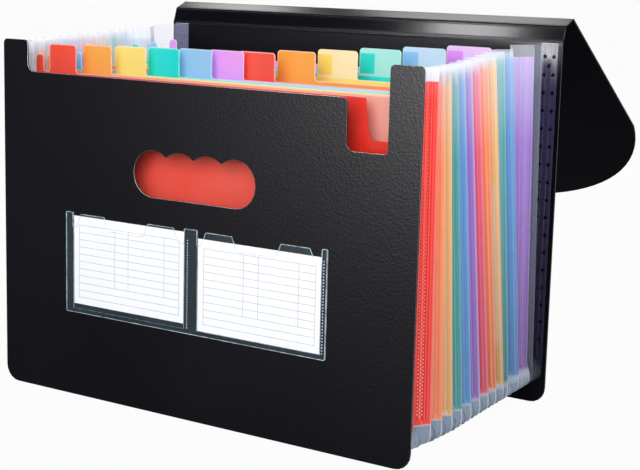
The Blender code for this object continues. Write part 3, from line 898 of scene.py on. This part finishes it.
def make_film():
    """Fold line at the right, swept down, under the dividers and up the left side."""
    sizes = settings()
    low, high = FILM_LOW, FILM_HIGH
    top = high.z - film_rise(0.0)
    radius = sizes.film_corner
    bm = bmesh.new()
    tint = bm.verts.layers.float_color.new("tint")
    foot = bm.verts.layers.float.new("foot")
    marks = {name: bm.verts.layers.float.new(name) for name in (*FINISH_MARKS, "ridge", "across")}
    rim = []
    for (x, y, ridge, finish), (_, lower, _, _) in zip(zigzag(1.0), zigzag(0.0)):
        vert = bm.verts.new((x, y, top))
        vert[tint] = finish["tint"]
        vert[foot] = lower
        for name in FINISH_MARKS:
            vert[marks[name]] = finish[name]
        vert[marks["ridge"]] = ridge
        if rim:
            vert[marks["across"]] = rim[-1][marks["across"]] + (vert.co - rim[-1].co).length
        rim.append(vert)
    edges = [bm.edges.new(pair) for pair in zip(rim, rim[1:])]
    drop = Vector((0, 0, (low.z + radius - top) / SIDE_STEPS))
    steps = (
        *[("run", drop)] * SIDE_STEPS,
        ("turn", Vector((high.x - radius, 0, low.z + radius))),
        ("run", Vector((2 * (radius - high.x), 0, 0))),
        ("turn", Vector((radius - high.x, 0, low.z + radius))),
        *[("run", -drop)] * SIDE_STEPS,
    )
    for kind, where in steps:
        edges = sweep(bm, edges, kind, where)
    bmesh.ops.remove_doubles(bm, verts=bm.verts, dist=MERGE)
    bmesh.ops.recalc_face_normals(bm, faces=bm.faces)
    square_corners(bm, radius)
    mark_ends(bm, top, marks)
    for vert in bm.verts:
        level = (vert.co.z - low.z) / (top - low.z)
        vert.co.y = vert[foot] + (vert.co.y - vert[foot]) * level
        vert.co.z += film_rise(vert.co.y) + film_lift(vert.co.x, vert.co.y, level)
        # Painted light and shade: each tint is made lighter near the top and darker towards the foot and the
        # rear.
        shade = painted_light_and_shade(vert.co.y, level)
        vert[tint] = (*(min(1.0, channel * shade) for channel in vert[tint][:3]), vert[tint][3])
    bmesh.ops.solidify(bm, geom=bm.faces[:], thickness=sizes.film)
    bmesh.ops.recalc_face_normals(bm, faces=bm.faces)
    pale_inside(bm, tint, marks["veil"])
    look = look_named("film_frosted", frosted_film)
    made = put(bm, "pleated_film", [look], smooth=True)
    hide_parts("gusset_film")
    close_up(made)


def pale_inside(bm, tint, veil):
    """Make the film's inner side plain and milky, so that the tints show on its outer side."""
    sizes = settings()
    bm.normal_update()
    for vert in bm.verts:
        inward = vert.co.x * vert.normal.x < -INWARD * abs(vert.co.x)
        if not inward or vert[tint][3] < TINTED:
            continue
        vert[tint] = (*tone("film_inside"), sizes.inner_veil)
        if vert.co.x < 0:
            vert[veil] = sizes.inner_veil


def zigzag(level):
    """Points of the film at the right edge: X, Y, painted highlight of an outer fold, and finish."""
    sizes = settings()
    folds = film_folds(level)
    points = []
    for i, (inset, y, stretches) in enumerate(folds):
        here = Vector((FILM_HIGH.x - inset * sizes.pleat, y))
        glow = sizes.last_fold_highlight if y == fold_place(DIVIDER_COUNT, level) else sizes.fold_highlight
        shade = points[-1][3] if points and not inset else stretches[0][1]
        points.append((*here, glow * (1.0 - inset), shade))
        if i + 1 == len(folds):
            continue
        after = Vector((FILM_HIGH.x - folds[i + 1][0] * sizes.pleat, folds[i + 1][1]))
        ahead = (after - here).normalized()
        span = (after - here).length
        begin = sizes.fold_line / 2
        for part, finish in stretches:
            end = min(span * part, span - sizes.fold_line / 2)
            points.append((*(here + ahead * begin), 0.0, finish))
            points.append((*(here + ahead * end), 0.0, finish))
            begin = end + MARGIN_EDGE
    return points


def sweep(bm, edges, kind, where):
    """Carry the fold line straight on, or round a lower corner."""
    if kind == "run":
        made = bmesh.ops.extrude_edge_only(bm, edges=edges)
        fresh = made["geom"]
        verts = [item for item in fresh if isinstance(item, bmesh.types.BMVert)]
        bmesh.ops.translate(bm, verts=verts, vec=where)
    else:
        verts = list({vert for edge in edges for vert in edge.verts})
        made = bmesh.ops.spin(
            bm, geom=verts + edges, cent=where, axis=(0, 1, 0), angle=QUARTER, steps=CORNER_STEPS,
            use_duplicate=False)
        fresh = made["geom_last"]
    return [item for item in fresh if isinstance(item, bmesh.types.BMEdge)]


def square_corners(bm, radius):
    """Push the round lower corners out until they are nearly square, and flatten the pleats there."""
    for vert in bm.verts:
        side = math.copysign(1.0, vert.co.x)
        out = max(0.0, abs(vert.co.x) - (FILM_HIGH.x - radius))
        down = FILM_LOW.z + radius - vert.co.z
        if down < -MERGE:
            continue
        reach = math.hypot(out, down)
        turned = math.atan2(down, out) / QUARTER
        depth = (radius - reach) * max(0.0, 1.0 - LOW_FLARE * turned)
        grow = (radius - depth) / (out ** CORNER_POWER + down ** CORNER_POWER) ** (1 / CORNER_POWER)
        vert.co.x = side * (FILM_HIGH.x - radius + out * grow)
        vert.co.z = FILM_LOW.z + radius - down * grow


def mark_ends(bm, top, marks):
    """Keep how far each point lies inside the lower and upper end of its margin, and below its top."""
    lower, upper, deep = (bm.verts.layers.float.new(name) for name in ("lower", "upper", "deep"))
    for vert in bm.verts:
        if vert.co.x < 0:
            vert[marks["veil"]] = max(vert[marks["veil"]], settings().left_veil)
        begin = vert[marks["begin"]]
        fade = vert[marks["full"]] - begin
        edge = MARGIN_EDGE + LOW_FADE * film_part(vert.co.y)
        vert[lower] = (vert.co.z - vert[marks["base"]]) / edge + 1.0
        vert[upper] = (top - vert.co.z - begin) / fade
        vert[deep] = (top - vert.co.z - begin) / settings().paling + vert[marks["rich"]]


def make_weld_dots():
    """Columns of small weld dots down the red margin, on both sides."""
    sizes = settings()
    low, high = FILM_LOW, FILM_HIGH
    top = high.z - film_rise(0.0)
    first = top - sizes.clear_top - WELD_START
    bm = bmesh.new()
    for row in range(int((first - low.z - sizes.film_corner) / sizes.weld_pitch)):
        for column, shift, reach in WELD_COLUMNS:
            z = first - (row + shift) * sizes.weld_pitch
            level = (z - low.z) / (top - low.z)
            if level > reach:
                continue
            near, far = (fold_place(index, level) for index in (0, 1))
            valley = Vector((high.x - sizes.pleat, (near + far) / 2, z))
            ridge = Vector((high.x, far, z))
            outward = Vector((ridge.y - valley.y, valley.x - ridge.x, 0)).normalized()
            spot = valley.lerp(ridge, column) + outward * (sizes.film + WELD_RAISE * sizes.weld)
            for side in (Vector((1, 1, 1)), Vector((-1, 1, 1))):
                stud(
                    bm, spot * side, outward * side, segments=6, radius=sizes.weld, top=0.45,
                    depth=sizes.weld * 0.5)
    made = put(bm, "margin_weld_dots", [red_weld(low.z, top)], smooth=True)
    close_up(made)


def make_weld_spots():
    """Round welds that hold the film's last panel to the rear cover, in two columns at each side."""
    sizes = settings()
    low, high = FILM_LOW, FILM_HIGH
    columns = (high.x - SPOT_INSETS[0], high.x - sizes.pleat + SPOT_INSETS[1])
    bm = bmesh.new()
    top = high.z + film_lift(high.x, high.y, 1.0) - SPOT_START
    count = int((top - low.z - sizes.film_corner) / sizes.spot_pitch)
    for side in (1, -1):
        spots = [(x, top - row * sizes.spot_pitch) for row in range(count) for x in columns]
        spots.append((sum(columns) / 2, top - sizes.spot_pitch / 2))
        for x, z in spots:
            place = Vector((side * x, high.y - FILM_WALL, z))
            stud(bm, place, FRONT, segments=12, radius=sizes.spot, top=0.7, depth=SPOT_DEPTH)
    made = put(bm, "rear_weld_spots", [weld_look("weld_dark", 0.02)], smooth=True)
    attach(made, "rear")


class FILE_OT_gusset(bpy.types.Operator):
    """Frosted pleated film around the sides and under the dividers, with its welds"""
    bl_idname = "expanding_file.gusset"
    bl_label = "Gusset"

    def execute(self, context):
        make_film()
        make_weld_dots()
        make_weld_spots()
        return {"FINISHED"}


def make_seam_dots():
    """Columns of tiny welds in the middle seam and at the right end."""
    sizes = settings()
    low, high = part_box("label_pocket")
    left_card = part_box("label_card_left")
    right_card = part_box("label_card_right")
    seam = left_card[1].x + (right_card[0].x - left_card[1].x) * SEAM_SHARE
    columns = (seam, (right_card[1].x + high.x) / 2)
    bm = bmesh.new()
    count = int((high.z - low.z - 2 * SEAM_END) / sizes.seam_pitch)
    for x in columns:
        for row in range(count):
            place = Vector((x, low.y - SEAM_DOT_OUT, low.z + SEAM_END + row * sizes.seam_pitch))
            stud(bm, place, FRONT, segments=5, radius=sizes.seam_dot, top=0.5, depth=SEAM_DOT_DEPTH)
    made = put(bm, "pocket_seam_dots", [weld_look("weld_clear", 0.1)])
    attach(made, "front")


class FILE_OT_pocket(bpy.types.Operator):
    """Clear double card pocket on the front cover, with dotted welds in its seams"""
    bl_idname = "expanding_file.pocket"
    bl_label = "Card pocket"

    def execute(self, context):
        bm = copy_of("label_pocket")
        flat = [face for face in bm.faces if face.normal.y < -FACING]
        ring = rim_faces(bm, flat, POCKET_RIM)
        cut = [face for face in bm.faces if abs(face.normal.y) < FACING]
        for face in ring + cut:
            face.material_index = RIM_LOOK
        looks = [look_named("sleeve_clear", clear_pocket), look_named("sleeve_edge", pocket_edge)]
        made = put(bm, "pocket_sleeve", looks)
        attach(made, "front")
        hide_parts("label_pocket")
        make_seam_dots()
        return {"FINISHED"}


def make_card(side):
    """White sheet with its printed table."""
    node = "label_card_" + side
    paper = look_named("paper_white", card_paper)
    bm = copy_of(node)
    round_edges(bm, CARD_EDGE, 1)
    made = put(bm, "card_sheet_" + side, [paper, paper])
    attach(made, "card_" + side)
    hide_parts(node)
    rules = put(ruled_table(node), "card_rules_" + side, [look_named("rule_ink", rule_ink)])
    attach(rules, "card_" + side)


def ruled_table(node):
    """Thin printed strips: a border, rows, and columns that stop above the last rows."""
    sizes = settings()
    low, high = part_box(node)
    width, tall = high.x - low.x, high.z - low.z
    bm = bmesh.new()
    left, right = (low.x + width * part for part in TABLE_ACROSS)
    base, top = (low.z + tall * part for part in TABLE_UP)
    step = (top - base) / sizes.rule_count
    for row in range(sizes.rule_count + 1):
        print_strip(bm, low.y, (left, base + row * step), (right, base + row * step), sizes.rule)
    for part in (0.0, *TABLE_COLUMNS, 1.0):
        x = left + (right - left) * part
        stop = base + (0 if part in (0.0, 1.0) else TABLE_LAST_ROWS * step)
        print_strip(bm, low.y, (x, stop), (x, top), sizes.rule)
    return bm


def print_strip(bm, y, start, end, wide):
    """Thin box along a printed line."""
    size = Vector((abs(end[0] - start[0]) + wide, PRINT_THICK, abs(end[1] - start[1]) + wide))
    middle = Vector(((start[0] + end[0]) / 2, y - PRINT_THICK / 2, (start[1] + end[1]) / 2))
    matrix = Matrix.Translation(middle) @ Matrix.Diagonal((*size, 1.0))
    bmesh.ops.create_cube(bm, size=1.0, matrix=matrix)


class FILE_OT_cards(bpy.types.Operator):
    """Two white label cards with a plain ruled table"""
    bl_idname = "expanding_file.cards"
    bl_label = "Label cards"

    def execute(self, context):
        for side in ("left", "right"):
            make_card(side)
        return {"FINISHED"}


def make_world(scene):
    """White where it is seen or reflected, and a soft grey as light."""
    world = bpy.data.worlds.new("studio")
    world.use_nodes = True
    scene.world = world
    tree = world.node_tree
    shade = tree.nodes["Background"]
    shade.inputs["Color"].default_value = (*WHITE, 1.0)
    level = tree.nodes.new("ShaderNodeMapRange")
    level.inputs["To Min"].default_value = scene.expanding_file_stage.ambient
    level.inputs["To Max"].default_value = 1.0
    tree.links.new(seen_rays(tree), level.inputs["Value"])
    tree.links.new(level.outputs["Result"], shade.inputs["Strength"])


def make_lamp(scene, name, place, aim, wide, tall, power):
    """Area lamp that faces a point and is never seen itself."""
    data = bpy.data.lights.new(name, "AREA")
    data.shape = "RECTANGLE"
    data.size = wide
    data.size_y = tall
    data.energy = power
    made = bpy.data.objects.new(name, data)
    made.location = place
    made.visible_camera = False
    made.visible_diffuse = not name.endswith("sheen")
    made.visible_glossy = name not in UNMIRRORED
    made.rotation_euler = (Vector(aim) - Vector(place)).to_track_quat("-Z", "Y").to_euler()
    scene.collection.objects.link(made)


def make_camera(scene):
    """Camera that looks at the target from the stage's angles."""
    stage = scene.expanding_file_stage
    flat = math.cos(stage.elevation)
    ahead = Vector((
        -math.sin(stage.azimuth) * flat, math.cos(stage.azimuth) * flat, -math.sin(stage.elevation)))
    right = ahead.cross(UP).normalized()
    turn = Matrix((right, right.cross(ahead), -ahead)).transposed().to_4x4()
    data = bpy.data.cameras.new("camera")
    data.lens = stage.lens
    data.sensor_width = SENSOR_WIDTH
    data.clip_start, data.clip_end = CLIP
    made = bpy.data.objects.new("camera", data)
    place = Vector(stage.target) - ahead * stage.distance
    made.matrix_world = Matrix.Translation(place) @ turn @ Matrix.Rotation(stage.roll, 4, "Z")
    scene.collection.objects.link(made)
    scene.camera = made


class FILE_OT_stage(bpy.types.Operator):
    """Pale floor, soft studio light and the camera"""
    bl_idname = "expanding_file.stage"
    bl_label = "Stage"

    def execute(self, context):
        scene = context.scene
        scene.view_settings.view_transform = "Standard"
        bm = bmesh.new()
        bmesh.ops.create_grid(bm, x_segments=1, y_segments=1, size=FLOOR_REACH)
        floor = put(bm, "floor", [floor_look()])
        make_world(scene)
        for lamp in LAMPS:
            make_lamp(scene, *lamp)
        make_camera(scene)
        return {"FINISHED"}


class FILE_PT_panel(bpy.types.Panel):
    """Builds the expanding file piece by piece"""
    bl_idname = "FILE_PT_expanding_file"
    bl_label = "Expanding File"
    bl_space_type = "VIEW_3D"
    bl_region_type = "UI"
    bl_category = "Expanding File"

    def draw(self, context):
        for operator in OPERATORS:
            self.layout.operator(operator.bl_idname)
        for pointer in GROUPS:
            group = getattr(context.scene, pointer)
            box = self.layout.box()
            for name in group.__annotations__:
                box.prop(group, name)


OPERATORS = (
    FILE_OT_covers, FILE_OT_lid, FILE_OT_dividers, FILE_OT_gusset, FILE_OT_pocket, FILE_OT_cards,
    FILE_OT_stage)
GROUPS = {
    "expanding_file_sizes": FileSizes,
    "expanding_file_colours": FileColours,
    "expanding_file_stage": FileStage,
}
CLASSES = (*GROUPS.values(), *OPERATORS, FILE_PT_panel)


def register():
    for item in CLASSES:
        bpy.utils.register_class(item)
    for pointer, group in GROUPS.items():
        setattr(bpy.types.Scene, pointer, PointerProperty(type=group))


def unregister():
    for pointer in GROUPS:
        delattr(bpy.types.Scene, pointer)
    for item in reversed(CLASSES):
        bpy.utils.unregister_class(item)


def main():
    register()
    bpy.ops.expanding_file.covers()
    bpy.ops.expanding_file.lid()
    bpy.ops.expanding_file.dividers()
    bpy.ops.expanding_file.gusset()
    bpy.ops.expanding_file.pocket()
    bpy.ops.expanding_file.cards()
    bpy.ops.expanding_file.stage()


if __name__ == "__main__":
    main()
